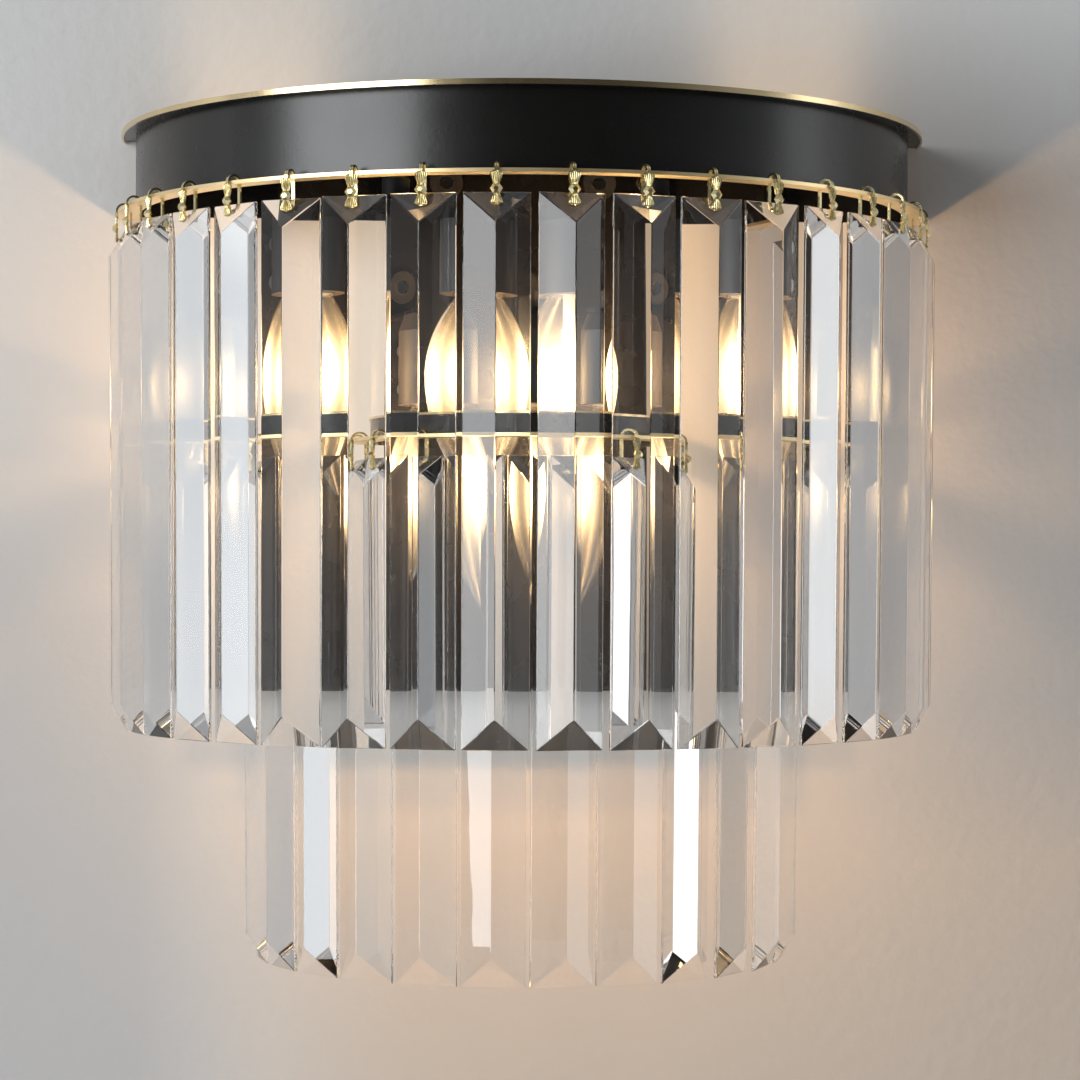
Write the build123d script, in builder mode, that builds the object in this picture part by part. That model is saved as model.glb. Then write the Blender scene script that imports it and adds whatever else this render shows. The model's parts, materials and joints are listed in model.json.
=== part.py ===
"""Crystal wall sconce: a half-round black canopy and a smaller half ring below it carry two
tiers of three-sided glass prisms on brass clips, around three candle lamps on a back plate."""

import os
from math import atan2, cos, degrees, hypot, pi, radians, sin

from build123d import *

os.makedirs("parts", exist_ok=True)

# Millimetres. The origin is the middle of the wall bracket, on the wall plane y = 0.
# +Z is up and the light stands out from the wall towards -Y.

# ---- Driving dimensions: canopy, rings and back plate ----
sheet = 1.2  # steel sheet of the canopy, the rings and the back plate
ring_ledge = 6.2  # how far a ring stands out past the band above it
rim_overhang = 5.2  # how far the canopy's top stands out past its band
trim_width = 0.8  # brass edging, seen from above
trim_height = 1.8
canopy_rise = 17.0  # canopy top above the wall bracket's middle
canopy_height = 27.8  # canopy band, from the top sheet to the upper ring
tier_drop = 82.9  # from the upper ring down to the lower ring
lower_band_height = 7.7
plate_height = 201.8
plate_depth = 14.0
plate_bend = 1.6  # outer radius of the bends round the back plate's face
plate_side_gap = 2.6  # back plate's side to the inside of the lower band

# ---- Driving dimensions: prisms and brass clips ----
prism_length = 180.0
prism_width = 22.0
prism_ridge = 6.6  # depth from the flat back to the ridge
prism_edge = 1.0  # thickness left at the two long edges
prism_bevel = 10.0  # length of the slanted facet at each end
prism_drop = 7.0  # from the clip's loop centre down to the prism
prism_setback = 1.4  # prism back behind the loop centre
upper_prism_gap = 2.19  # between neighbours, along the circle of the clips' loops
lower_prism_gap = 1.75
prism_hole_radius = 1.0
prism_hole_depth = 3.2  # hole centre below the prism's top
strip_width = 1.2
strip_thickness = 0.7
loop_radius = 2.2  # inside of the clip's loop over the ring
loop_setback = 1.7  # loop centre inside the ring's rim
tongue_reach = 0.8  # how far each bent end of the clip goes into the prism's hole
fan_width = 4.1
fan_height = 4.4
fan_shoulder = 1.3  # from the loop's centre down to the fan's widest place
fan_waist = 1.9
lower_fan_width = 3.4
lower_fan_height = 2.8
lower_fan_shoulder = 2.0
bead_radius = 2.1
bead_lap = 0.4  # how far the bead lies over the lower fan
bead_height = 2.0
bead_taper = 24.0
ring_hole_clearance = 0.3  # clip leg's corner to the hole's wall
# Degrees that each prism hangs turned about its clip's leg, from left to right.
upper_twists = [0, 0, 0, 0, -5, 8, 7, 0, 0, 6, 5, -3, -2, 6, 0, 0, 0, 0]
lower_twists = [0, 0, 0, 0, 0, 0, 6, -5, 7, 8, 6, 0]

# ---- Driving dimensions: lamps ----
lamp_out = 50.0  # lamp axis in front of the wall
side_lamp_x = 46.0
side_lamp_drop = 12.0  # underside of a side lamp's shelf below the bracket's middle
centre_lamp_drop = 51.0
shelf_width = 18.0
shelf_thickness = 1.5
shelf_leg = 34.0
shelf_bend = 2.4
holder_radius = 13.0
holder_length = 32.0
holder_wall = 4.6
holder_floor = 6.0
holder_shoulder = 2.6  # the holder's top is this much narrower all round
nipple_radius = 4.9
nipple_rise = 7.0  # above the shelf
lead_hole_radius = 2.5
cap_length = 26.2
cap_contact_radius = 3.2
cap_cone = 4.8  # height of the cap's cone down from the contact
bulb_radius = 17.5
bulb_length = 72.0
bulb_neck_radius = 7.0
bulb_wall = 0.7
bulb_tip_radius = 3.0
belly_drop = 28.8  # from the cap down to the widest place of the glass
filament_width = 1.4
filament_thickness = 0.8
filament_length = 28.0
filament_lap = 3.0  # welded length at the stem
stem_radius = 2.0

# ---- Driving dimensions: wall bracket and fasteners ----
bracket_length = 112.0
bracket_width = 18.0
bracket_thickness = 2.0
slot_spacing = 60.0
slot_length = 14.0
slot_width = 5.0
window_gap = 1.0  # canopy window around the bracket
stud_spacing = 90.0
stud_radius = 2.0
stud_chamfer = 0.3
stud_reach = 5.0  # stud past the back plate's face
nut_flats = 7.0
nut_height = 3.2
dome_collar = 1.0  # straight part of the dome nut above its hexagon
dome_step = 0.3  # the collar stands this far inside the flats
cable_hole_radius = 6.0
earth_offset = 14.0
screw_radius = 1.5
screw_head_radius = 2.9
screw_head_height = 1.8
screw_tail = 1.0  # screw past the last sheet that it holds
lower_screw_spacing = 130.0
canopy_screw_spacing = 140.0
shelf_screw_pitch = 14.0
shelf_screw_drop = 12.0  # first shelf screw below the shelf's top
fit = 0.1  # radial clearance of screws, studs and nipples in their holes
cap_clearance = 0.4

# ---- Driving dimensions: wiring inside the back plate ----
block_width = 30.0
block_height = 14.0
block_depth = 8.0
block_drop = 22.0  # middle of the terminal block below the bracket's middle
way_pitch = 10.0  # from one way of the terminal block to the next
way_radius = 1.6
way_slit = 1.5  # slit between two ways
clamp_radius = 2.0
grommet_radius = 6.0
grommet_bore = 2.5
grommet_wall = 1.4  # rubber round the bore, inside the plate's hole
grommet_rim = 1.2
side_grommet_x = 28.0
centre_grommet_drop = 38.0


def tier_radius(count, gap):
    """Ring radius at which so many prisms fill a half circle, the gap apart."""
    return (count + 1) * (prism_width + gap) / pi + loop_setback


# ---- Sizes that follow ----
upper_ring_radius = tier_radius(len(upper_twists), upper_prism_gap)
lower_ring_radius = tier_radius(len(lower_twists), lower_prism_gap)
canopy_top_z = canopy_rise
canopy_under_z = canopy_top_z - sheet
upper_ring_top = canopy_under_z - canopy_height
upper_hinge_z = upper_ring_top - sheet / 2
lower_hinge_z = upper_hinge_z - tier_drop
lower_ring_top = lower_hinge_z + sheet / 2
upper_band_radius = upper_ring_radius - ring_ledge
lower_band_radius = lower_ring_radius - ring_ledge
rim_radius = upper_band_radius + rim_overhang
plate_face_y = -plate_depth
plate_width = 2 * (lower_band_radius - sheet - plate_side_gap)
bar_face_y = plate_face_y - sheet
leg_setback = loop_radius + strip_thickness / 2  # clip leg's middle behind the loop centre
strip_reach = loop_radius + strip_thickness
prism_hole_z = -prism_drop - prism_hole_depth
ring_hole_radius = hypot(strip_width, strip_thickness) / 2 + ring_hole_clearance

# Sketch planes of a pendant, whose own origin is the loop's centre with -Y outwards.
side_view = Plane(origin=(0, 0, 0), x_dir=(0, -1, 0), z_dir=(-1, 0, 0))
front_view = Plane(origin=(0, 0, 0), x_dir=(1, 0, 0), z_dir=(0, -1, 0))


def save(piece, name):
    """Label a finished piece and write its own file."""
    piece.part.label = name
    export_step(piece.part, f"parts/{name}.step")


def half_disc(radius, back=0.0):
    """Plan of a half disc about the canopy's axis, cut square at the line y = -back."""
    with BuildSketch() as plan:
        Circle(radius)
        with Locations((0, -back)):
            Rectangle(2 * radius, radius, align=(Align.CENTER, Align.MAX), mode=Mode.INTERSECT)
    return plan.sketch


def half_ring(outer, inner, back=0.0):
    """Plan of a half ring about the canopy's axis, its two ends square at y = -back."""
    with BuildSketch() as plan:
        add(half_disc(outer, back))
        Circle(inner, mode=Mode.SUBTRACT)
    return plan.sketch


def hang_angles(count):
    """Even angles of a tier's prisms about the canopy's axis, 0 straight out from the wall."""
    pitch = 180 / (count + 1)
    return [(number - (count - 1) / 2) * pitch for number in range(count)]


def ring_holes(ring_radius, count):
    """Locations of a tier's clip holes on its ring."""
    angles = hang_angles(count)
    return PolarLocations(
        ring_radius - loop_setback - leg_setback,
        count,
        start_angle=angles[0] - 90,
        angular_range=angles[-1] - angles[0],
        endpoint=True,
    )


# ---- Canopy: a flat top, a half-round band and a wall behind, all black sheet ----
with BuildPart() as canopy_top:
    with BuildSketch(Plane.XY.offset(canopy_under_z)):
        add(half_disc(rim_radius - trim_width))
        with Locations((0, -plate_depth / 2)):
            with GridLocations(canopy_screw_spacing, 1, 2, 1):
                Circle(screw_radius + fit, mode=Mode.SUBTRACT)
    extrude(amount=sheet)
save(canopy_top, "canopy_top")

# The brass edging hides the raw edge of the top and ends flush with its upper face.
with BuildPart() as top_rim_trim:
    with BuildSketch(Plane.XY.offset(canopy_top_z)):
        add(half_ring(rim_radius, rim_radius - trim_width))
    extrude(amount=-trim_height)
save(top_rim_trim, "top_rim_trim")

with BuildPart() as canopy_band:
    with BuildSketch(Plane.XY.offset(upper_ring_top)):
        add(half_ring(upper_band_radius, upper_band_radius - sheet))
    extrude(amount=canopy_height)
save(canopy_band, "canopy_band")

# The wall behind closes the band against the wall and lets the bracket through a window.
with BuildPart() as canopy_rear_wall:
    with BuildSketch(Plane.XY.offset(upper_ring_top)):
        add(half_disc(upper_band_radius - sheet))
        with Locations((0, -sheet)):
            Rectangle(
                2 * upper_band_radius,
                upper_band_radius,
                align=(Align.CENTER, Align.MAX),
                mode=Mode.SUBTRACT,
            )
    extrude(amount=canopy_height)
    with BuildSketch(Plane.XZ):
        Rectangle(bracket_length + 2 * window_gap, bracket_width + 2 * window_gap)
    extrude(amount=sheet, mode=Mode.SUBTRACT)
save(canopy_rear_wall, "canopy_rear_wall")

# ---- Rings: flat brass half rings with one hole for each clip's leg ----
with BuildPart() as upper_ring:
    with BuildSketch(Plane.XY.offset(upper_ring_top)):
        add(half_ring(upper_ring_radius, upper_band_radius - sheet))
        with ring_holes(upper_ring_radius, len(upper_twists)):
            Circle(ring_hole_radius, mode=Mode.SUBTRACT)
    extrude(amount=-sheet)
save(upper_ring, "upper_ring")

with BuildPart() as lower_ring:
    with BuildSketch(Plane.XY.offset(lower_ring_top)):
        add(half_ring(lower_ring_radius, lower_band_radius - sheet, -bar_face_y))
        with ring_holes(lower_ring_radius, len(lower_twists)):
            Circle(ring_hole_radius, mode=Mode.SUBTRACT)
    extrude(amount=-sheet)
save(lower_ring, "lower_ring")

with BuildPart() as lower_band:
    with BuildSketch(Plane.XY.offset(lower_ring_top)):
        add(half_ring(lower_band_radius, lower_band_radius - sheet, -bar_face_y))
    extrude(amount=lower_band_height - trim_width)
save(lower_band, "lower_band")

with BuildPart() as lower_band_trim:
    with BuildSketch(Plane.XY.offset(lower_ring_top + lower_band_height)):
        add(half_ring(lower_band_radius + sheet / 2, lower_band_radius - sheet, -bar_face_y))
    extrude(amount=-trim_width)
save(lower_band_trim, "lower_band_trim")

# The bar joins the lower tier's two ends across the back plate and is screwed to it.
with BuildPart() as lower_rear_bar:
    with BuildSketch(Plane.XZ.offset(-plate_face_y)):
        with Locations((0, lower_ring_top - sheet)):
            Rectangle(
                2 * lower_band_radius,
                lower_band_height + sheet,
                align=(Align.CENTER, Align.MIN),
            )
        with Locations((0, lower_hinge_z + lower_band_height / 2)):
            with GridLocations(lower_screw_spacing, 1, 2, 1):
                Circle(screw_radius + fit, mode=Mode.SUBTRACT)
    extrude(amount=sheet)
save(lower_rear_bar, "lower_rear_bar")

# ---- Back plate: a shallow tray with its open side to the wall ----
shelf_places = [
    ("left", -side_lamp_x, -side_lamp_drop),
    ("centre", 0.0, -centre_lamp_drop),
    ("right", side_lamp_x, -side_lamp_drop),
]
shelf_screws = [
    (x, under + shelf_thickness - shelf_screw_drop - row * shelf_screw_pitch)
    for name, x, under in shelf_places
    for row in range(2)
]
bar_screws = [
    (side * lower_screw_spacing / 2, lower_hinge_z + lower_band_height / 2) for side in (-1, 1)
]
grommet_places = [(-side_grommet_x, 0), (0, -centre_grommet_drop), (side_grommet_x, 0)]

with BuildPart() as back_plate:
    with BuildSketch(Plane.XZ.offset(sheet)):
        with Locations((0, canopy_under_z)):
            Rectangle(plate_width, plate_height, align=(Align.CENTER, Align.MAX))
    extrude(amount=plate_depth - sheet)
    fillet(back_plate.faces().sort_by(Axis.Y)[0].edges(), plate_bend)
    offset(amount=-sheet, openings=back_plate.faces().sort_by(Axis.Y)[-1])
    with BuildSketch(Plane.XZ.offset(-plate_face_y)):
        with GridLocations(stud_spacing, 1, 2, 1):
            Circle(stud_radius + fit)
        with Locations(*shelf_screws, *bar_screws):
            Circle(screw_radius + fit)
        with Locations(*grommet_places):
            Circle(grommet_bore + grommet_wall)
    extrude(amount=-sheet, mode=Mode.SUBTRACT)
    with BuildSketch(Plane.XY.offset(canopy_under_z)):
        with Locations((0, -plate_depth / 2)):
            with GridLocations(canopy_screw_spacing, 1, 2, 1):
                Circle(screw_radius + fit)
    extrude(amount=-sheet, mode=Mode.SUBTRACT)
save(back_plate, "back_plate")


# ---- Screws: pan heads on the side that faces out, shanks through both sheets ----
def pan_screw(grip):
    """Pan-head screw with its head above z = 0 and its shank going down by the grip."""
    with BuildPart() as screw:
        with BuildSketch(Plane.XY):
            Circle(screw_head_radius)
        extrude(amount=screw_head_height)
        with BuildSketch(Plane.XY):
            Circle(screw_radius)
        extrude(amount=-grip)
    return screw.part


with BuildPart() as plate_screws:
    with Locations(Plane.XZ.offset(-plate_face_y + shelf_thickness)):
        with Locations(*shelf_screws):
            add(pan_screw(shelf_thickness + sheet + screw_tail))
    with Locations(Plane.XZ.offset(-bar_face_y)):
        with Locations(*bar_screws):
            add(pan_screw(2 * sheet + screw_tail))
save(plate_screws, "plate_screws")

# These two are driven from inside the tray and end flush with the canopy's top.
with BuildPart() as canopy_screws:
    with Locations(Plane.XY.offset(canopy_under_z - sheet).rotated((180, 0, 0))):
        with Locations((0, plate_depth / 2)):
            with GridLocations(canopy_screw_spacing, 1, 2, 1):
                add(pan_screw(2 * sheet))
save(canopy_screws, "canopy_screws")

# ---- Wall bracket: a slotted bar on the wall with two studs for the dome nuts ----
with BuildPart() as wall_bracket:
    with BuildSketch(Plane.XZ):
        SlotOverall(bracket_length, bracket_width)
        with GridLocations(slot_spacing, 1, 2, 1):
            SlotOverall(slot_length, slot_width, mode=Mode.SUBTRACT)
        with GridLocations(stud_spacing, 1, 2, 1):
            Circle(stud_radius + fit, mode=Mode.SUBTRACT)
        Circle(cable_hole_radius, mode=Mode.SUBTRACT)
        with Locations((earth_offset, 0)):
            Circle(screw_radius + fit, mode=Mode.SUBTRACT)
    extrude(amount=bracket_thickness)
save(wall_bracket, "wall_bracket")

with BuildPart() as bracket_studs:
    with BuildSketch(Plane.XZ):
        with GridLocations(stud_spacing, 1, 2, 1):
            Circle(stud_radius)
    extrude(amount=plate_depth + stud_reach)
    chamfer(bracket_studs.faces().filter_by(Axis.Y).edges(), stud_chamfer)
save(bracket_studs, "bracket_studs")

with BuildPart() as earth_screw:
    with Locations(Plane.XZ.offset(bracket_thickness)):
        with Locations((earth_offset, 0)):
            add(pan_screw(bracket_thickness))
save(earth_screw, "earth_screw")

# ---- Wiring inside the back plate: a three-way terminal block and rubber grommets ----
block_face_y = plate_face_y + sheet  # inner face of the plate, which the block sits on
with BuildPart() as terminal_block:
    with BuildSketch(Plane.XZ.offset(-block_face_y)):
        with Locations((0, -block_drop)):
            Rectangle(block_width, block_height)
    extrude(amount=-block_depth)
    with BuildSketch(Plane.XZ.offset(-block_face_y - block_depth)):
        with Locations((0, -block_drop)):
            with GridLocations(way_pitch, 1, 2, 1):
                Rectangle(way_slit, block_height)
            with GridLocations(way_pitch, 1, 3, 1):
                Circle(clamp_radius)
    extrude(amount=block_depth / 2, mode=Mode.SUBTRACT)
    with BuildSketch(Plane.XY.offset(-block_drop - block_height / 2)):
        with Locations((0, block_face_y + block_depth / 2)):
            with GridLocations(way_pitch, 1, 3, 1):
                Circle(way_radius)
    extrude(amount=block_height, mode=Mode.SUBTRACT)
save(terminal_block, "terminal_block")

with BuildPart() as grommet:
    with BuildSketch(Plane.XZ):
        with BuildLine():
            Polyline(
                (grommet_bore, 0),
                (grommet_bore, sheet + grommet_rim),
                (grommet_radius, sheet + grommet_rim),
                (grommet_radius, sheet),
                (grommet_bore + grommet_wall, sheet),
                (grommet_bore + grommet_wall, 0),
                close=True,
            )
        make_face()
    revolve(axis=Axis.Z)

with BuildPart() as cable_grommets:
    with Locations(Plane.XZ.offset(-block_face_y)):
        with Locations(*grommet_places):
            add(grommet.part)
save(cable_grommets, "cable_grommets")

# A dome nut is a hexagon under a round cap, bored blind from behind for its stud.
with BuildPart() as dome_nut:
    with BuildSketch(Plane.XY):
        RegularPolygon(nut_flats / 2, 6, major_radius=False)
    extrude(amount=nut_height)
    with BuildSketch(Plane.XZ):
        with BuildLine():
            dome_radius = nut_flats / 2 - dome_step
            dome_foot = nut_height + dome_collar
            Polyline((0, nut_height), (dome_radius, nut_height), (dome_radius, dome_foot))
            dome = RadiusArc((dome_radius, dome_foot), (0, dome_foot + dome_radius), -dome_radius)
            Line(dome @ 1, (0, nut_height))
        make_face()
    revolve(axis=Axis.Z)
    with BuildSketch(Plane.XY):
        Circle(stud_radius + fit)
    extrude(amount=stud_reach + 2 * fit, mode=Mode.SUBTRACT)

with BuildPart() as dome_nuts:
    with Locations(Plane.XZ.offset(-plate_face_y)):
        with GridLocations(stud_spacing, 1, 2, 1):
            add(dome_nut.part)
save(dome_nuts, "dome_nuts")


# ---- Lamps: each a shelf on the back plate, a holder under it and a candle bulb ----
with BuildPart() as lamp_shelf:
    with BuildSketch(Plane.YZ.offset(-shelf_width / 2)):
        with BuildLine():
            shelf_end = -lamp_out - holder_radius
            Polyline(
                (plate_face_y, -shelf_leg),
                (plate_face_y, shelf_thickness),
                (shelf_end, shelf_thickness),
                (shelf_end, 0),
                (plate_face_y - shelf_thickness, 0),
                (plate_face_y - shelf_thickness, -shelf_leg),
                close=True,
            )
        make_face()
    extrude(amount=shelf_width)
    bend = lamp_shelf.edges().filter_by(Axis.X)
    fillet(bend.group_by(Axis.Z)[-1].sort_by(Axis.Y)[-1], shelf_bend)
    fillet(lamp_shelf.edges().filter_by(Axis.Z).group_by(Axis.Y)[0], shelf_width / 3)
    with BuildSketch(Plane.XY.offset(shelf_thickness)):
        with Locations((0, -lamp_out)):
            Circle(nipple_radius + fit)
    extrude(amount=-shelf_thickness, mode=Mode.SUBTRACT)
    with BuildSketch(Plane.XZ.offset(-plate_face_y)):
        with Locations((0, shelf_thickness - shelf_screw_drop)):
            with Locations((0, 0), (0, -shelf_screw_pitch)):
                Circle(screw_radius + fit)
    extrude(amount=shelf_thickness, mode=Mode.SUBTRACT)

bore_radius = holder_radius - holder_wall
with BuildPart() as lamp_holder:
    with BuildSketch(Plane.XZ):
        with BuildLine():
            Polyline(
                (lead_hole_radius, nipple_rise + shelf_thickness),
                (nipple_radius, nipple_rise + shelf_thickness),
                (nipple_radius, 0),
                (holder_radius - holder_shoulder, 0),
                (holder_radius, -holder_floor),
                (holder_radius, -holder_length),
                (bore_radius, -holder_length),
                (bore_radius, -holder_floor),
                (lead_hole_radius, -holder_floor),
                close=True,
            )
        make_face()
    revolve(axis=Axis.Z)

cap_radius = bore_radius - cap_clearance
cap_top = -holder_floor - fit
cap_end = cap_top - cap_length
bulb_end = cap_end - bulb_length
with BuildPart() as bulb_cap:
    with BuildSketch(Plane.XZ):
        with BuildLine():
            Polyline(
                (0, cap_top),
                (cap_contact_radius, cap_top),
                (cap_radius, cap_top - cap_cone),
                (cap_radius, cap_end),
                (0, cap_end),
                close=True,
            )
        make_face()
    revolve(axis=Axis.Z)


def candle(inset):
    """Half outline of a candle bulb drawn the inset inside its outer face."""
    radius, neck = bulb_radius - inset, bulb_neck_radius - inset
    tip_radius, tip = bulb_tip_radius - inset, bulb_end + inset
    belly = cap_end - belly_drop
    drop = belly - tip - tip_radius
    # The long arc under the belly runs smoothly into the small ball of the tip.
    sweep = (radius**2 + drop**2 - tip_radius**2) / (2 * (radius - tip_radius))
    meet = Vector(0, tip + tip_radius) + Vector(sweep - radius, -drop).normalized() * tip_radius
    with BuildSketch() as outline:
        with BuildLine():
            shoulder = TangentArc((radius, belly), (neck, cap_end), tangent=(0, 1))
            flame = TangentArc((radius, belly), meet, tangent=(0, -1))
            TangentArc(meet, (0, tip), tangent=flame % 1)
            Polyline((0, tip), (0, cap_end), shoulder @ 1)
        make_face()
    return outline.sketch


with BuildPart() as bulb_glass:
    with BuildSketch(Plane.XZ):
        add(candle(0))
    revolve(axis=Axis.Z)
    with BuildSketch(Plane.XZ):
        add(candle(bulb_wall))
    revolve(axis=Axis.Z, mode=Mode.SUBTRACT)

# Four flat filaments stand round the stem's end, centred on the widest place of the glass.
stem_end = cap_end - belly_drop + filament_length / 2
with BuildPart() as filament:
    with BuildSketch(Plane.XY.offset(cap_end)):
        Circle(stem_radius)
    extrude(amount=stem_end - cap_end)
    with BuildSketch(Plane.XY.offset(stem_end + filament_lap)):
        with PolarLocations(stem_radius, 4):
            Rectangle(filament_thickness, filament_width)
    extrude(amount=-filament_lap - filament_length)

for name, x, under in shelf_places:
    place = Location((x, 0, under))
    with BuildPart() as bracket:
        with Locations(place):
            add(lamp_shelf.part)
    save(bracket, f"lamp_bracket_{name}")
    lamp_axis = Location((x, -lamp_out, under))
    with BuildPart() as holder:
        with Locations(lamp_axis):
            add(lamp_holder.part)
    save(holder, f"lamp_holder_{name}")
    with BuildPart() as glass:
        with Locations(lamp_axis):
            add(bulb_glass.part)
    save(glass, f"bulb_glass_{name}")

lamp_axes = [Location((x, -lamp_out, under)) for name, x, under in shelf_places]
with BuildPart() as bulb_caps:
    with Locations(*lamp_axes):
        add(bulb_cap.part)
save(bulb_caps, "bulb_caps")
with BuildPart() as bulb_filaments:
    with Locations(*lamp_axes):
        add(filament.part)
save(bulb_filaments, "bulb_filaments")

# ---- Prism: a shallow three-sided bar with a slanted facet at each end ----
prism_back = -prism_setback
prism_front = prism_back + prism_edge
prism_end = -prism_drop - prism_length
bevel_run = prism_bevel / (prism_ridge - prism_edge)  # bevel length for each unit of depth
with BuildPart() as prism:
    with BuildSketch(Plane.XY.offset(-prism_drop)):
        with BuildLine():
            Polyline(
                (-prism_width / 2, -prism_back),
                (prism_width / 2, -prism_back),
                (prism_width / 2, -prism_front),
                (0, -prism_back - prism_ridge),
                (-prism_width / 2, -prism_front),
                close=True,
            )
        make_face()
    extrude(amount=-prism_length)
    with BuildSketch(side_view):
        with BuildLine():
            past = prism_ridge  # the cutting outline passes well clear of the ridge
            Polyline(
                (prism_back, -prism_drop),
                (prism_front, -prism_drop),
                (prism_front + past, -prism_drop - past * bevel_run),
                (prism_front + past, prism_end + past * bevel_run),
                (prism_front, prism_end),
                (prism_back, prism_end),
                close=True,
            )
        make_face()
    extrude(amount=prism_width, both=True, mode=Mode.INTERSECT)
    with BuildSketch(front_view):
        with Locations((0, prism_hole_z)):
            Circle(prism_hole_radius)
    extrude(amount=prism_ridge, both=True, mode=Mode.SUBTRACT)

# ---- Clip: a strip looped over the ring, its two ends bent into the prism's hole ----
tongue_top = prism_hole_z + strip_thickness / 2
leg_end = tongue_top - strip_thickness
tongue_end = prism_back + tongue_reach
bead_z = -fan_height - bead_radius
lower_fan_z = bead_z - bead_radius + bead_lap
hole_front = prism_front + prism_hole_depth / bevel_run  # glass face at the hole
with BuildPart() as clip:
    with BuildSketch(side_view):
        with BuildLine():
            loop = CenterArc((0, 0), strip_reach, 0, 180)
            Polyline(
                loop @ 1,
                (-strip_reach, leg_end),
                (tongue_end, leg_end),
                (tongue_end, tongue_top),
                (-loop_radius, tongue_top),
                (-loop_radius, 0),
            )
            CenterArc((0, 0), loop_radius, 0, 180)
            Line((loop_radius, 0), loop @ 0)
        make_face()
    extrude(amount=strip_width / 2, both=True)
    with BuildSketch(front_view.offset(loop_radius)):
        with BuildLine():
            Polyline(
                (-fan_waist / 2, -fan_height),
                (-fan_width / 2, -fan_shoulder),
                (-strip_width / 2, 0),
                (strip_width / 2, 0),
                (fan_width / 2, -fan_shoulder),
                (fan_waist / 2, -fan_height),
                (fan_waist / 2, lower_fan_z),
                (lower_fan_width / 2, lower_fan_z - lower_fan_shoulder),
                (strip_width / 2, lower_fan_z - lower_fan_height),
                (-strip_width / 2, lower_fan_z - lower_fan_height),
                (-lower_fan_width / 2, lower_fan_z - lower_fan_shoulder),
                (-fan_waist / 2, lower_fan_z),
                close=True,
            )
        make_face()
    extrude(amount=strip_thickness)
    with BuildSketch(front_view.offset(loop_radius)):
        with Locations((0, bead_z)):
            RegularPolygon(bead_radius, 8, rotation=22.5)
    extrude(amount=bead_height, taper=bead_taper)
    with BuildSketch(front_view.offset(loop_radius)):
        with Locations((0, prism_hole_z)):
            Rectangle(strip_width, strip_thickness)
    extrude(amount=hole_front - tongue_reach - loop_radius)

# ---- Pendants: each prism hangs from its ring and leans until its weight is under the loop ----
weight = prism.part.center(CenterOf.MASS)
hang_lean = degrees(atan2(-weight.Y, -weight.Z))


def hinge_plane(angle, twist, ring_radius, hinge_z):
    """Frame of a pendant's loop: x along the loop's axis, -y outwards, z up."""
    leg_reach = ring_radius - loop_setback - leg_setback
    around, facing = radians(angle), radians(angle + twist)
    return Plane(
        origin=(
            leg_reach * sin(around) + leg_setback * sin(facing),
            -leg_reach * cos(around) - leg_setback * cos(facing),
            hinge_z,
        ),
        x_dir=(cos(facing), sin(facing), 0),
        z_dir=(0, 0, 1),
    )


for tier, ring_radius, hinge_z, twists in (
    ("upper", upper_ring_radius, upper_hinge_z, upper_twists),
    ("lower", lower_ring_radius, lower_hinge_z, lower_twists),
):
    for number, (angle, twist) in enumerate(zip(hang_angles(len(twists)), twists)):
        hinge = hinge_plane(angle, twist, ring_radius, hinge_z).location
        with BuildPart() as pendant:
            with Locations(hinge * Rotation(hang_lean, 0, 0)):
                add(prism.part)
                add(clip.part)
        save(pendant, f"{tier}_pendant_{number + 1:02d}")
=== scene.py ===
import json
import math

import bmesh
import bpy
from mathutils import Matrix, Vector


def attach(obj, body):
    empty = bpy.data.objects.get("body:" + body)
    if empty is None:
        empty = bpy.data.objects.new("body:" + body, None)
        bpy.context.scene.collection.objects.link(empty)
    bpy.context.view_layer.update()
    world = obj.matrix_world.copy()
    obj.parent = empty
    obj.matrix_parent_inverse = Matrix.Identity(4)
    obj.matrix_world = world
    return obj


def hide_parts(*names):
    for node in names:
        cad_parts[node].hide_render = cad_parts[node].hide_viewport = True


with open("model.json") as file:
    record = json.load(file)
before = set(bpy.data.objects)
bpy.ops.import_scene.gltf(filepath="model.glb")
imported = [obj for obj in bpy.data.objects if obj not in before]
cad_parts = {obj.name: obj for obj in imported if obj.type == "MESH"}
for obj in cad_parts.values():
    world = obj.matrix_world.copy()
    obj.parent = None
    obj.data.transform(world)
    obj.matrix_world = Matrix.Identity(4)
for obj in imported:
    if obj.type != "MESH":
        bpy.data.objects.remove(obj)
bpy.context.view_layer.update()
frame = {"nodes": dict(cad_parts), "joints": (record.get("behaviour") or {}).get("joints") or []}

nodes = frame["nodes"]

# ---- Canopy sheet and back plate ----
# Rolled and folded steel sheet, sprayed with satin black lacquer. The top, band and
# rear wall are spot welded; the back plate is a shallow tray behind the prisms, and
# the lower band and its rear bar are painted with it.


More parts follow.
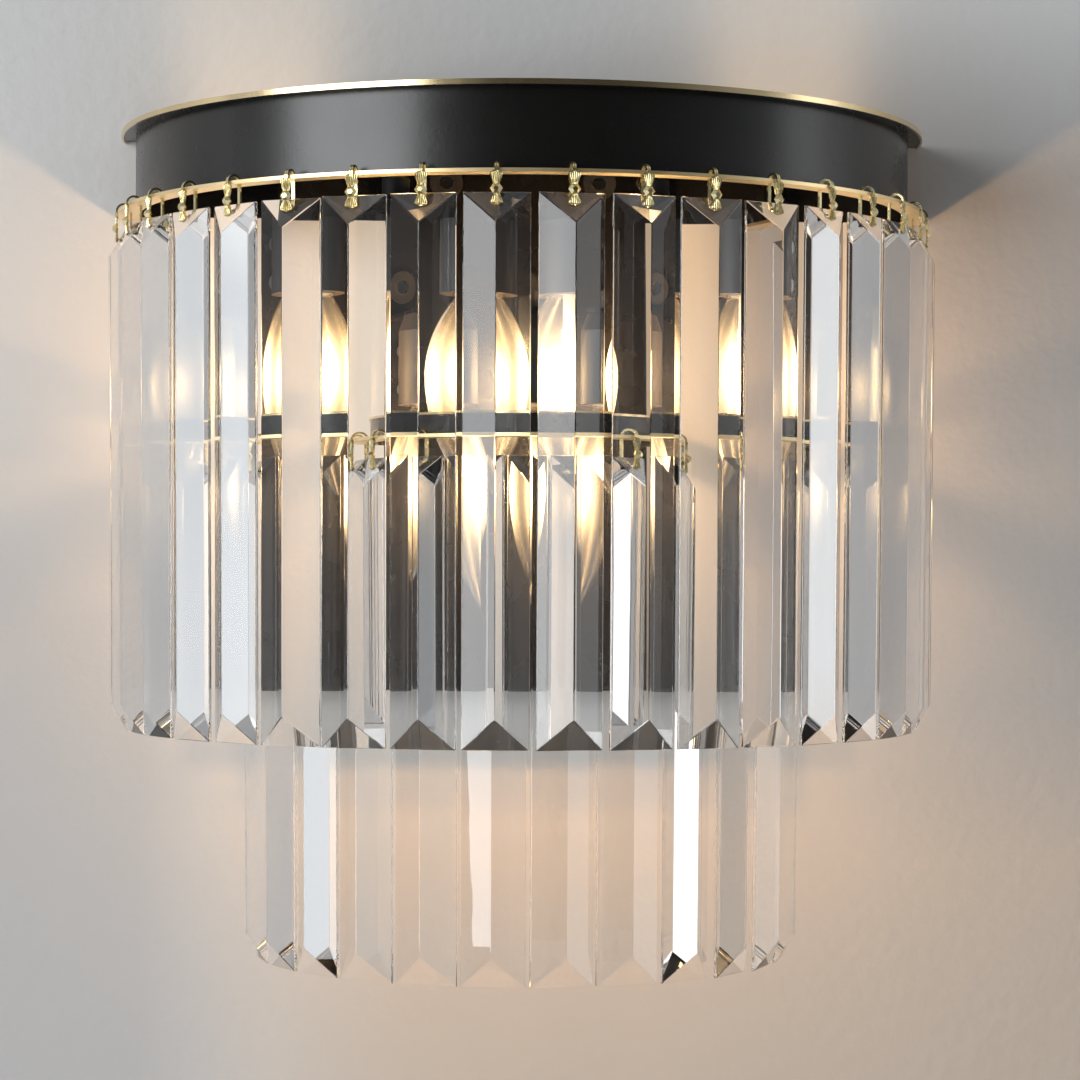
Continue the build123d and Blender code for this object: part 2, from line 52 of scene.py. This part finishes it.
class Wire:
    """A socket of a node tree, with shader maths written as plain expressions."""

    def __init__(self, tree, socket=None):
        self.tree = tree
        self.socket = socket

    def node(self, kind, settings=None, inputs=None, output=0):
        """Add a node with its settings, then the values or links of its sockets."""
        made = self.tree.nodes.new("ShaderNode" + kind)
        for name, value in (settings or {}).items():
            if name == "stops":
                for place, (position, colour) in enumerate(value):
                    if place > 1:
                        made.color_ramp.elements.new(position)
                    made.color_ramp.elements[place].position = position
                    made.color_ramp.elements[place].color = colour
            else:
                setattr(made, name, value)
        for name, value in (inputs or {}).items():
            if isinstance(value, Wire):
                self.tree.links.new(value.socket, made.inputs[name])
            else:
                made.inputs[name].default_value = value
        return Wire(self.tree, made.outputs[output])

    def sum(self, operation, first, second=0.0):
        return self.node("Math", {"operation": operation}, {0: first, 1: second})

    def __add__(self, other):
        return self.sum("ADD", self, other)

    def __sub__(self, other):
        return self.sum("SUBTRACT", self, other)

    def __mul__(self, other):
        return self.sum("MULTIPLY", self, other)

    def __truediv__(self, other):
        return self.sum("DIVIDE", self, other)

    def __radd__(self, other):
        return self.sum("ADD", other, self)

    def __rsub__(self, other):
        return self.sum("SUBTRACT", other, self)

    def __rmul__(self, other):
        return self.sum("MULTIPLY", other, self)

    def __rtruediv__(self, other):
        return self.sum("DIVIDE", other, self)

    def clamp(self, low=0.0, high=1.0):
        return self.node("Clamp", inputs={"Value": self, "Min": low, "Max": high})

    def speckle(self, scale, detail=3.0):
        """Even noise over the piece, about 0.5; the scale is in features to a metre."""
        place = self.node("TexCoord", output="Object")
        return self.node("TexNoise", inputs={"Vector": place, "Scale": scale, "Detail": detail})

    def measure(self, axis):
        """Place on the piece along X, Y or Z, in metres."""
        place = self.node("TexCoord", output="Object")
        return self.node("SeparateXYZ", inputs={0: place}, output=axis)

    def tint(self, share, first, second, blend="MIX"):
        """Colour from the first to the second, colours or wires, as the share goes from 0 to 1."""
        first, second = (
            colour if isinstance(colour, Wire) else (*colour, 1) for colour in (first, second)
        )
        settings = {"data_type": "RGBA", "blend_type": blend}
        return self.node("Mix", settings, {0: share, 6: first, 7: second}, output=2)

    def relief(self, height, depth):
        """Surface relief from a height of 0 to 1 that stands for the depth in metres."""
        return self.node("Bump", inputs={"Height": height, "Distance": depth, "Strength": 1.0})


def new_finish(name, **fixed):
    """A finish with its fixed values: its material, a wire to start from and its shader."""
    finish = bpy.data.materials.new(name)
    finish.use_nodes = True
    shader = finish.node_tree.nodes["Principled BSDF"]
    for socket, value in fixed.items():
        shader.inputs[socket.replace("_", " ")].default_value = value
    return finish, Wire(finish.node_tree), shader


def feed(shader, socket, wire):
    wire.tree.links.new(wire.socket, shader.inputs[socket])


def dress(finish, *names):
    """Give the finish to solids that keep their own shape."""
    for name in names:
        nodes[name].data.materials.clear()
        nodes[name].data.materials.append(finish)


black_lacquer, wire, shader = new_finish("satin_black_lacquer", Specular_IOR_Level=0.56)
peel = wire.speckle(700.0, 2.0)
dust = wire.speckle(60.0, 4.0)
feed(shader, "Base Color", wire.tint(dust, (0.0040, 0.0036, 0.0033), (0.0075, 0.0070, 0.0065)))
feed(shader, "Roughness", 0.23 + dust * 0.08)
feed(shader, "Normal", wire.relief(peel, 0.00002))
dress(
    black_lacquer,
    "canopy_top", "canopy_band", "canopy_rear_wall", "back_plate", "lower_band",
    "lower_rear_bar", "lamp_bracket_left", "lamp_bracket_centre", "lamp_bracket_right",
)

# ---- Brass edging and the two half rings ----
# Bright brass strip rolled round the canopy's rim, and half rings of brass sheet under
# the two bands, polished and lacquered. Each ring has a drilled hole for every clip.

brass, wire, shader = new_finish("polished_brass", Metallic=1.0)
smear = wire.speckle(90.0, 5.0)
grain = wire.speckle(1500.0, 2.0)
feed(shader, "Base Color", wire.tint(smear, (0.80, 0.62, 0.34), (0.88, 0.72, 0.44)))
feed(shader, "Roughness", 0.14 + smear * 0.14)
feed(shader, "Normal", wire.relief(grain, 0.000004))
dress(brass, "top_rim_trim", "lower_band_trim", "dome_nuts")

spun_brass, wire, shader = new_finish("spun_brass", Metallic=1.0)
smear = wire.speckle(120.0, 5.0)
feed(shader, "Base Color", wire.tint(smear, (0.93, 0.72, 0.38), (1.0, 0.84, 0.52)))
feed(shader, "Roughness", 0.30 + smear * 0.16)
feed(shader, "Normal", wire.relief(wire.speckle(1800.0, 2.0), 0.000006))
dress(spun_brass, "upper_ring", "lower_ring")

# ---- Wall bracket, studs and screws ----
# Pressed steel bar and turned screws, plated with dull bluish zinc. The bracket is
# screwed to the wall and carries the whole light on its two studs.

zinc, wire, shader = new_finish("zinc_plate", Metallic=1.0)
cloud = wire.speckle(140.0, 6.0)
feed(shader, "Base Color", wire.tint(cloud, (0.50, 0.51, 0.52), (0.66, 0.66, 0.64)))
feed(shader, "Roughness", 0.30 + cloud * 0.20)
feed(shader, "Normal", wire.relief(wire.speckle(2400.0), 0.00001))
dress(zinc, "wall_bracket", "bracket_studs", "earth_screw", "plate_screws", "canopy_screws")

# ---- Lamps: holders, caps, glass and filaments ----
# Moulded black phenolic holders screwed down on the shelves, and clear candle bulbs
# with a rolled aluminium cap and four straight filaments, which are lit.

phenolic, wire, shader = new_finish("black_phenolic", Specular_IOR_Level=0.5)
mottle = wire.speckle(240.0, 5.0)
feed(shader, "Base Color", wire.tint(mottle, (0.016, 0.015, 0.015), (0.030, 0.028, 0.027)))
feed(shader, "Roughness", 0.42 + mottle * 0.16)
feed(shader, "Normal", wire.relief(wire.speckle(1800.0), 0.00001))
dress(phenolic, "lamp_holder_left", "lamp_holder_centre", "lamp_holder_right")

cap_metal, wire, shader = new_finish("rolled_aluminium", Metallic=1.0)
draw = wire.speckle(300.0, 4.0)
feed(shader, "Base Color", wire.tint(draw, (0.70, 0.70, 0.69), (0.82, 0.82, 0.80)))
feed(shader, "Roughness", 0.22 + draw * 0.15)
dress(cap_metal, "bulb_caps")

side_lamp_x, lamp_y, side_belly, centre_belly = 0.046, -0.050, -0.0731, -0.1121
flare_width, flare_height = 0.0065, 0.0125  # a glow that stands in for the lens's flare
bulb_clear, wire, shader = new_finish(
    "bulb_glass", Transmission_Weight=1.0, IOR=1.46, Emission_Strength=8.0
)
haze = wire.speckle(70.0, 4.0)
feed(shader, "Base Color", wire.tint(haze, (1.0, 0.97, 0.92), (1.0, 0.99, 0.97)))
feed(shader, "Roughness", 0.01 + haze * 0.03)
# The glass is painted with a warm glow around each bulb's middle, a painted flare around the lit
# filaments.
across = wire.sum("ABSOLUTE", wire.measure("X"))
at_side = wire.sum("GREATER_THAN", across, side_lamp_x / 2)
beside = wire.sum("ABSOLUTE", across - at_side * side_lamp_x)
behind = wire.sum("ABSOLUTE", wire.measure("Y") - lamp_y)
beside = wire.sum("MINIMUM", beside, behind) / flare_width
middle = centre_belly + at_side * (side_belly - centre_belly)
above = (wire.measure("Z") - middle) / flare_height
painted_flare = 1.0 / (1.0 + beside * beside + above * above)
feed(shader, "Emission Color", wire.tint(painted_flare * painted_flare * painted_flare, (0.0, 0.0, 0.0), (1.0, 0.64, 0.30)))
for side in ("left", "centre", "right"):
    dress(bulb_clear, "bulb_glass_" + side)
    nodes["bulb_glass_" + side].visible_shadow = False
    nodes["bulb_glass_" + side].visible_diffuse = False

hot_length = 0.0065  # above and below the middle, where the strips are brightest
glow, wire, shader = new_finish("lit_filament", Emission_Strength=150.0)
heat = wire.speckle(400.0, 2.0)
feed(shader, "Base Color", wire.tint(heat, (1.0, 0.78, 0.42), (1.0, 0.86, 0.55)))
at_side = wire.sum("GREATER_THAN", wire.sum("ABSOLUTE", wire.measure("X")), side_lamp_x / 2)
middle = centre_belly + at_side * (side_belly - centre_belly)
away = (wire.measure("Z") - middle) / hot_length
spread = 1.0 / (1.0 + away * away * away * away)
feed(shader, "Emission Color", wire.tint(spread, (0.001, 0.0005, 0.0002), (1.0, 0.76, 0.46)))
dress(glow, "bulb_filaments")

for side, x, z, power in (
    ("left", -side_lamp_x, side_belly, 0.6),
    ("centre", 0, centre_belly, 1.3),
    ("right", side_lamp_x, side_belly, 0.9),
):
    lamp = bpy.data.lights.new("lamp_" + side, "POINT")
    lamp.energy = power
    lamp.color = (1.0, 0.54, 0.22)
    lamp.shadow_soft_size = 0.004
    glower = bpy.data.objects.new("lamp_" + side, lamp)
    bpy.context.scene.collection.objects.link(glower)
    glower.location = (x, lamp_y, z)
    glower.visible_camera = glower.visible_glossy = glower.visible_transmission = False

# ---- Wiring parts in the back plate ----
# A three-way terminal block moulded in pale nylon, and soft black rubber grommets
# pressed into the plate's holes where the lamps' leads come through.

nylon, wire, shader = new_finish("pale_nylon", Specular_IOR_Level=0.45)
cloudy = wire.speckle(320.0, 4.0)
feed(shader, "Base Color", wire.tint(cloudy, (0.74, 0.73, 0.68), (0.82, 0.81, 0.77)))
feed(shader, "Roughness", 0.38 + cloudy * 0.14)
feed(shader, "Normal", wire.relief(wire.speckle(2000.0), 0.00001))
dress(nylon, "terminal_block")

rubber, wire, shader = new_finish("black_rubber", Specular_IOR_Level=0.3)
bloom = wire.speckle(500.0, 5.0)
feed(shader, "Base Color", wire.tint(bloom, (0.010, 0.010, 0.010), (0.028, 0.027, 0.026)))
feed(shader, "Roughness", 0.62 + bloom * 0.20)
feed(shader, "Normal", wire.relief(bloom, 0.00003))
dress(rubber, "cable_grommets")

# ---- Prisms ----
# Solid clear glass, moulded and fire polished: a flat back, two slopes that meet in a
# ridge, and a slanted facet at each end. A hole through the top facet takes the clip.

half_width, back, front, ridge = 0.011, 0.0014, 0.0004, -0.0056
prism_top, prism_bottom, facet_run = -0.007, -0.187, 0.010
hole_radius, hole_height = 0.001, -0.0102

shape = bmesh.new()
level = [(prism_top, prism_top - facet_run), (prism_bottom, prism_bottom + facet_run)]
ends = []
for end, ridge_end in level:
    ends.append([
        shape.verts.new(place)
        for place in (
            (-half_width, back, end), (half_width, back, end),
            (half_width, front, end), (-half_width, front, end), (0.0, ridge, ridge_end),
        )
    ])
top, low = ends
for corners in (
    (top[1], top[0], low[0], low[1]), (top[0], top[3], low[3], low[0]),
    (top[2], top[1], low[1], low[2]), (top[3], top[4], low[4], low[3]),
    (top[4], top[2], low[2], low[4]), (top[0], top[1], top[2], top[3]),
    (low[1], low[0], low[3], low[2]), (top[3], top[2], top[4]), (low[2], low[3], low[4]),
):
    shape.faces.new(corners)
bmesh.ops.recalc_face_normals(shape, faces=shape.faces)
prism_mesh = bpy.data.meshes.new("prism")
shape.to_mesh(prism_mesh)
shape.free()

drill = bmesh.new()
bmesh.ops.create_cone(
    drill, cap_ends=True, segments=28, radius1=hole_radius, radius2=hole_radius, depth=0.02,
    matrix=Matrix.Translation((0, 0, hole_height)) @ Matrix.Rotation(math.radians(90), 4, "X"),
)
drill_mesh = bpy.data.meshes.new("drill")
drill.to_mesh(drill_mesh)
drill.free()

# The bevel marks its new faces for the second material, so both places must exist.
for stand_in in ("faces", "edges"):
    prism_mesh.materials.append(bpy.data.materials.new(stand_in))
blank = bpy.data.objects.new("prism_blank", prism_mesh)
drill_bit = bpy.data.objects.new("drill_bit", drill_mesh)
bpy.context.scene.collection.objects.link(blank)
bpy.context.scene.collection.objects.link(drill_bit)
bore = blank.modifiers.new("hole", "BOOLEAN")
bore.operation = "DIFFERENCE"
bore.object = drill_bit
bore.solver = "EXACT"
edge = blank.modifiers.new("polished_edges", "BEVEL")
edge.width = 0.00026
edge.segments = 2
edge.limit_method = "ANGLE"
edge.angle_limit = math.radians(20)
edge.material = 1
bpy.context.view_layer.update()
prism_mesh = bpy.data.meshes.new_from_object(
    blank.evaluated_get(bpy.context.evaluated_depsgraph_get())
)
prism_mesh.name = "prism"
for leftover in (blank, drill_bit):
    bpy.data.objects.remove(leftover)

crystal, wire, shader = new_finish("clear_crystal", Transmission_Weight=1.0, IOR=1.57)
touch = wire.speckle(55.0, 4.0)
feed(shader, "Base Color", wire.tint(touch, (0.975, 0.985, 0.985), (0.99, 0.995, 1.0)))
feed(shader, "Roughness", touch * 0.012)
feed(shader, "Normal", wire.relief(wire.speckle(45.0, 1.0), 0.000008))

ground_edge, wire, shader = new_finish("ground_edge", Transmission_Weight=0.75, IOR=1.5)
frost = wire.speckle(900.0, 3.0)
feed(shader, "Base Color", wire.tint(frost, (0.95, 0.92, 0.86), (1.0, 1.0, 0.98)))
feed(shader, "Roughness", 0.22 + frost * 0.25)
prism_mesh.materials.clear()
for finish in (crystal, ground_edge):
    prism_mesh.materials.append(finish)

# ---- Clips ----
# Stamped from brass strip: a loop over the ring, a plain leg behind, and in front a
# fluted fan, a faceted bead and a second fan. Both ends are bent in as pins through
# the hole of the prism.

strip_half, strip_thick, loop_inner = 0.0006, 0.0007, 0.0022
leg_end = -0.01055
shape = bmesh.new()


def strip(path):
    """Flat strip of the clip's width and thickness along points of its middle line."""
    rings = []
    for number, (y, z) in enumerate(path):
        before = Vector(path[max(number - 1, 0)])
        after = Vector(path[min(number + 1, len(path) - 1)])
        along = (after - before).normalized()
        out = Vector((-along.y, along.x)) * strip_thick / 2
        rings.append([
            shape.verts.new((x, y + side * out.x, z + side * out.y))
            for x, side in ((-strip_half, 1), (strip_half, 1), (strip_half, -1), (-strip_half, -1))
        ])
    for first, second in zip(rings, rings[1:]):
        for corner in range(4):
            following = (corner + 1) % 4
            shape.faces.new((first[corner], first[following], second[following], second[corner]))
    shape.faces.new(rings[0])
    shape.faces.new(rings[-1])


middle, turns = loop_inner + strip_thick / 2, 14
arc = [
    (-middle * math.cos(math.pi * turn / turns), middle * math.sin(math.pi * turn / turns))
    for turn in range(turns + 1)
]
strip([(-middle, -0.0012)] + arc + [(middle, -0.004), (middle, leg_end)])

# Half widths of the stamped front down from the loop, with its share of fluting.
outline = (
    (-0.0001, 0.0007, 0.3), (-0.0005, 0.0015, 1.0), (-0.0010, 0.00205, 1.0),
    (-0.0020, 0.0019, 1.0), (-0.0032, 0.0015, 1.0), (-0.0046, 0.0010, 0.6),
    (-0.0062, 0.0010, 0.0), (-0.0076, 0.0010, 0.6), (-0.0088, 0.0015, 1.0),
    (-0.0100, 0.0020, 1.0), (-0.0106, 0.0021, 1.0), (-0.0110, 0.0014, 0.8),
    (-0.01125, 0.0006, 0.4),
)
columns = 36
flute_depth = 0.00036
front_rows, back_rows = [], []
for z, half, fluting in outline:
    fronts, backs = [], []
    for column in range(columns + 1):
        across = 2 * column / columns - 1
        crown = 0.00045 * (1 - across * across)
        flute = flute_depth * fluting * abs(math.cos(math.pi * 3 * across)) ** 0.6
        x = across * half
        fronts.append(shape.verts.new((x, -loop_inner - 0.0003 - crown * 0.5 - flute, z)))
        backs.append(shape.verts.new((x, -loop_inner, z)))
    front_rows.append(fronts)
    back_rows.append(backs)
for rows in (front_rows, back_rows):
    for upper, lower in zip(rows, rows[1:]):
        for column in range(columns):
            shape.faces.new((upper[column], upper[column + 1], lower[column + 1], lower[column]))
for front_row, back_row in ((front_rows[0], back_rows[0]), (front_rows[-1], back_rows[-1])):
    for column in range(columns):
        shape.faces.new((
            front_row[column], front_row[column + 1], back_row[column + 1], back_row[column],
        ))
for column in (0, columns):
    for row in range(len(outline) - 1):
        shape.faces.new((
            front_rows[row][column], front_rows[row + 1][column],
            back_rows[row + 1][column], back_rows[row][column],
        ))

bead_height, bead_sides = -0.0062, 6
bead_levels = (  # half width, half height and rise of each ring of corners
    (0.0016, 0.0012, 0.0), (0.0021, 0.0018, 0.0008), (0.0009, 0.0008, 0.0019),
)
bead_rings = [
    [
        shape.verts.new((
            half * math.cos(math.tau * corner / bead_sides),
            -loop_inner - rise,
            bead_height + tall * math.sin(math.tau * corner / bead_sides),
        ))
        for corner in range(bead_sides)
    ]
    for half, tall, rise in bead_levels
]
for first, second in zip(bead_rings, bead_rings[1:]):
    for corner in range(bead_sides):
        following = (corner + 1) % bead_sides
        shape.faces.new((first[corner], first[following], second[following], second[corner]))
shape.faces.new(bead_rings[0])
shape.faces.new(bead_rings[-1])

for inner, outer in ((0.0006, 0.0024), (-0.0024, -0.0006)):
    bmesh.ops.create_cube(
        shape, size=1.0,
        matrix=Matrix.Translation((0, (inner + outer) / 2, hole_height))
        @ Matrix.Diagonal((2 * strip_half, outer - inner, strip_thick, 1.0)),
    )
bmesh.ops.recalc_face_normals(shape, faces=shape.faces)
clip_mesh = bpy.data.meshes.new("clip")
shape.to_mesh(clip_mesh)
shape.free()

clip_brass, wire, shader = new_finish("stamped_brass", Metallic=1.0)
tarnish = wire.speckle(700.0, 4.0)
# The grooves between the flutes on the front are painted dark, a painted shade in the grooves, and are
# made rougher.
from_bead = wire.sum("ABSOLUTE", wire.measure("Z") - bead_height)
ray = wire.measure("X") / wire.sum("MAXIMUM", from_bead, 0.0004)
painted_groove_shade = 1.0 - wire.sum("ABSOLUTE", wire.sum("SINE", ray * (math.pi / 0.155)))
painted_groove_shade = painted_groove_shade * painted_groove_shade * wire.sum("GREATER_THAN", from_bead, 0.0021)
front_only = wire.sum("LESS_THAN", wire.measure("Y"), -0.0018)
fresh = wire.tint(tarnish, (0.72, 0.62, 0.31), (0.92, 0.82, 0.50))
feed(shader, "Base Color", wire.tint(painted_groove_shade * front_only * 0.85, fresh, (0.16, 0.11, 0.03)))
feed(shader, "Roughness", 0.14 + tarnish * 0.14 + painted_groove_shade * 0.2)
clip_mesh.materials.append(clip_brass)

# ---- Hanging the pendants ----
# Each clip hooks through its own hole in a ring and a prism hangs on it. The loop is
# the hinge, and the pendant leans until its weight hangs straight below the loop.

hang_lean = math.radians(0.4727)
for joint in frame["joints"]:
    pendant = joint["child"]
    along = -Vector(joint["axis"])
    up = Vector((0, 0, 1))
    facing = Matrix((along, up.cross(along), up)).transposed().to_4x4()
    hang = Matrix.Translation(joint["pos_m"]) @ facing @ Matrix.Rotation(hang_lean, 4, "X")
    for piece_name, mesh, finish in (
        ("prism", prism_mesh, "crystal"), ("clip", clip_mesh, "polished_brass"),
    ):
        piece = bpy.data.objects.new(pendant.replace("pendant", piece_name), mesh)
        bpy.context.scene.collection.objects.link(piece)
        piece.matrix_world = hang
        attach(piece, pendant)
        if piece_name == "prism":
            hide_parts(pendant)
            piece.visible_shadow = False
            piece.visible_diffuse = False

# ---- Studio: the wall, a floor and soft lights ----
# The wall isn't plain: painted light and shade and painted glows of lamp light are set on
# it to resemble the photographed wall, and the glass shows them. A pale floor, a large
# softbox at the left, a weak one at the right, and a surround that is darker in front.


def stage_sheet(name, corners):
    shape = bmesh.new()
    shape.faces.new([shape.verts.new(corner) for corner in corners])
    mesh = bpy.data.meshes.new(name)
    shape.to_mesh(mesh)
    shape.free()
    sheet = bpy.data.objects.new(name, mesh)
    bpy.context.scene.collection.objects.link(sheet)
    return sheet


wall_y, floor_z, wall_top, half_span = 0.0006, -1.2, 3, 4
wall = stage_sheet("wall", (
    (-half_span, wall_y, floor_z), (half_span, wall_y, floor_z),
    (half_span, wall_y, wall_top), (-half_span, wall_y, wall_top),
))
wall.visible_diffuse = False
wall.visible_shadow = False
floor = stage_sheet("floor", (
    (-half_span, -6, floor_z), (half_span, -6, floor_z), (half_span, 6, floor_z), (-half_span, 6, floor_z),
))

plaster, wire, shader = new_finish("plaster_with_painted_light", Roughness=0.9)
mottle = wire.speckle(6.0, 5.0)
paint = wire.tint(mottle, (0.93, 0.93, 0.93), (1.0, 1.0, 1.0))
along = wire.measure("X")
# The shade is painted light and shade: a ramp of tones across the wall, with a painted shadow right of the
# light and painted light far to the right.
shade = wire.node(
    "ValToRGB",
    {"stops": [
        (0.0, (0.36, 0.38, 0.40, 1)), (0.31, (0.34, 0.36, 0.38, 1)), (0.39, (0.66, 0.66, 0.65, 1)),
        (0.46, (0.62, 0.61, 0.59, 1)), (0.565, (0.46, 0.45, 0.44, 1)), (0.62, (0.42, 0.42, 0.42, 1)),
        (0.75, (0.85, 0.85, 0.85, 1)), (1.0, (0.85, 0.85, 0.85, 1)),
    ]},
    {0: along * 0.5 + 0.5},
)
tall = wire.measure("Z")
# Painted light above the canopy, a painted shadow low at the left, and a warm painted glow of the lamps
# below.
above = ((tall - 0.01) / 0.06).clamp()
painted_shadow_low_left = ((-0.08 - tall) / 0.08).clamp() * ((-0.09 - along) / 0.05).clamp()
below = ((-0.19 - tall) / 0.06).clamp() * ((along + 0.12) / 0.08).clamp()
for share, tone in (
    (above, (0.66, 0.66, 0.65)), (painted_shadow_low_left * 0.8, (0.46, 0.475, 0.49)), (below * 0.8, (0.62, 0.53, 0.44)),
):
    shade = wire.tint(share, shade, tone)
feed(shader, "Base Color", wire.tint(1.0, shade, paint, "MULTIPLY"))
feed(shader, "Normal", wire.relief(wire.speckle(180.0, 6.0), 0.0003))
# A warm painted pool of lamp light beside the back plate, and painted grey light at the far right, both as
# emission.
glow_x, glow_z, glow_width, glow_height = 0.098, -0.055, 0.026, 0.11
beside = (wire.sum("ABSOLUTE", along) - glow_x) / glow_width
drop = (tall - glow_z) / glow_height
painted_lamp_pool = 1.0 / (1.0 + beside * beside * beside * beside + drop * drop * drop * drop)
far_right = ((along - 0.38) / 0.1).clamp()
painted_warm_light = wire.tint(painted_lamp_pool, (0, 0, 0), (0.46, 0.32, 0.19))
painted_grey_light = wire.tint(far_right, (0, 0, 0), (0.30, 0.30, 0.30))
feed(shader, "Emission Color", wire.tint(1.0, painted_warm_light, painted_grey_light, "ADD"))
shader.inputs["Emission Strength"].default_value = 1.0
behind = wire.node("NewGeometry", output="Backfacing")
clear = wire.node("BsdfTransparent")
sides = wire.node(
    "MixShader", inputs={0: behind, 1: Wire(wire.tree, shader.outputs[0]), 2: clear}
)
wire.tree.links.new(sides.socket, wire.tree.nodes["Material Output"].inputs["Surface"])
wall.data.materials.append(plaster)

floor_paint, wire, shader = new_finish("pale_floor", Roughness=0.8)
feed(shader, "Base Color", wire.tint(wire.speckle(4.0, 4.0), (0.62, 0.61, 0.60), (0.68, 0.67, 0.66)))
floor.data.materials.append(floor_paint)


def softbox(name, place, target, width, height, power, colour):
    lamp = bpy.data.lights.new(name, "AREA")
    lamp.shape = "RECTANGLE"
    lamp.size, lamp.size_y = width, height
    lamp.energy = power
    lamp.color = colour
    box = bpy.data.objects.new(name, lamp)
    bpy.context.scene.collection.objects.link(box)
    box.location = place
    box.rotation_euler = (Vector(target) - Vector(place)).to_track_quat("-Z", "Y").to_euler()
    return box


window = softbox("softbox_left", (-1.99, -1.67, 0.15), (0, 0, -0.05), 1.8, 1.6, 56.0, (0.97, 0.985, 1.0))
window.visible_transmission = False
softbox("softbox_right", (1.5, -0.14, 0.05), (0, 0, -0.1), 0.5, 1.2, 2.4, (0.98, 0.99, 1.0))

world = bpy.data.worlds.new("surround")
bpy.context.scene.world = world
world.use_nodes = True
surround = world.node_tree.nodes["Background"]
surround.inputs["Strength"].default_value = 1.0
wire = Wire(world.node_tree)
facing = wire.node("TexCoord", output="Generated")
overhead = wire.node("SeparateXYZ", inputs={0: facing}, output="Z") * 0.5 + 0.5
out_front = (wire.node("SeparateXYZ", inputs={0: facing}, output="Y") * -1.0).clamp()
ceiling = wire.node(
    "ValToRGB",
    {"stops": [(0.0, (0.30, 0.29, 0.28, 1)), (0.55, (0.36, 0.37, 0.38, 1)), (1.0, (0.62, 0.64, 0.66, 1))]},
    {0: overhead},
)
front_dim = wire.node(
    "ValToRGB", {"stops": [(0.25, (1, 1, 1, 1)), (0.85, (0.11, 0.105, 0.10, 1))]}, {0: out_front}
)
surround_light = wire.tint(1.0, ceiling, front_dim, "MULTIPLY")
wire.tree.links.new(surround_light.socket, surround.inputs["Color"])

# ---- Camera, as the photograph was taken ----
# A long lens a little over a metre away, at the height of the prisms' middle, turned a
# touch to the right and up.

camera = bpy.data.objects.new("camera", bpy.data.cameras.new("camera"))
bpy.context.scene.collection.objects.link(camera)
bpy.context.scene.camera = camera
camera.data.sensor_width = 36.0
camera.data.lens = 3017.6 / 1080 * 36.0
yaw, pitch, roll = (math.radians(angle) for angle in (-1.936, -0.498, 0.198))
view = Matrix(((1, 0, 0), (0, 0, -1), (0, 1, 0)))
view = Matrix((
    (math.cos(yaw), 0, math.sin(yaw)), (0, 1, 0), (-math.sin(yaw), 0, math.cos(yaw)),
)) @ view
view = Matrix((
    (1, 0, 0), (0, math.cos(pitch), -math.sin(pitch)), (0, math.sin(pitch), math.cos(pitch)),
)) @ view
view = Matrix((
    (math.cos(roll), -math.sin(roll), 0), (math.sin(roll), math.cos(roll), 0), (0, 0, 1),
)) @ view
camera.matrix_world = Matrix.Translation((-0.0306, -1.1161, -0.1401)) @ Matrix(
    (view[0], -view[1], -view[2])
).transposed().to_4x4()
camera.data.clip_start, camera.data.clip_end = 0.05, 50.0

scene = bpy.context.scene
scene.view_settings.view_transform = "Standard"
scene.cycles.use_denoising = True
scene.cycles.max_bounces = 24
scene.cycles.transmission_bounces = 20
scene.cycles.glossy_bounces = 8
scene.cycles.transparent_max_bounces = 24
scene.cycles.caustics_reflective = False
scene.cycles.caustics_refractive = False
scene.cycles.sample_clamp_indirect = 6.0
